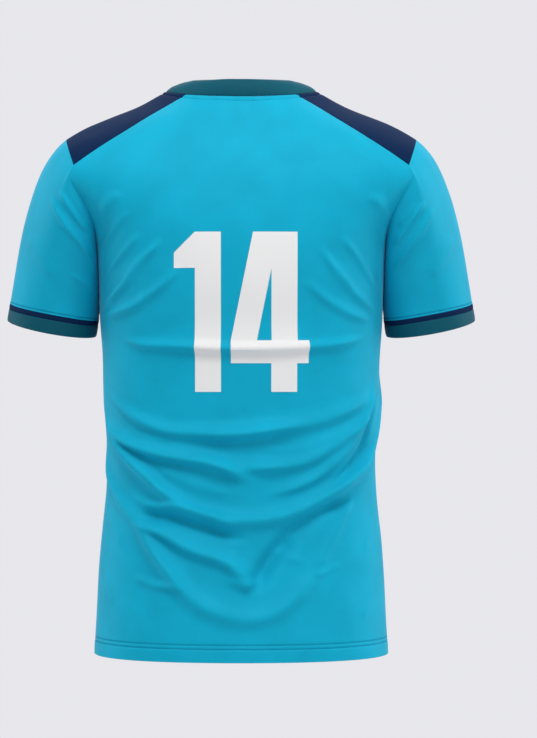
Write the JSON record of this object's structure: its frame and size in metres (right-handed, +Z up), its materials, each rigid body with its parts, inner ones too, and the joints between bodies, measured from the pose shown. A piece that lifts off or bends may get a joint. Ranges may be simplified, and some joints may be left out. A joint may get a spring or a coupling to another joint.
{
  "type": "badminton jersey",
  "caption": "Short-sleeved crew-neck sports jersey, filled out as if worn and hollow, with a round collar, contrast shoulder panels and banded cuffs.",
  "frame": {"origin": "between the two inner ends of the shoulder slopes, at the height where the collar meets them: where the wearer's shoulders hold the jersey up", "axes": "+Z up the wearer's body, +Y towards the wearer's front, +X towards the wearer's right"},
  "size_m": [0.5818, 0.2684, 0.703],
  "materials": {
    "cyan": "matte knit",
    "navy": "matte knit",
    "teal": "matte rib knit"
  },
  "bodies": {
    "root": {"back_panel": "cyan", "front_panel": "cyan", "shoulder_panel_left": "navy", "shoulder_panel_right": "navy", "sleeve_left": "cyan", "sleeve_right": "cyan", "cuff_stripe_left": "navy", "cuff_stripe_right": "navy", "cuff_band_left": "teal", "cuff_band_right": "teal", "collar": "teal"}
  },
  "joints": []
}
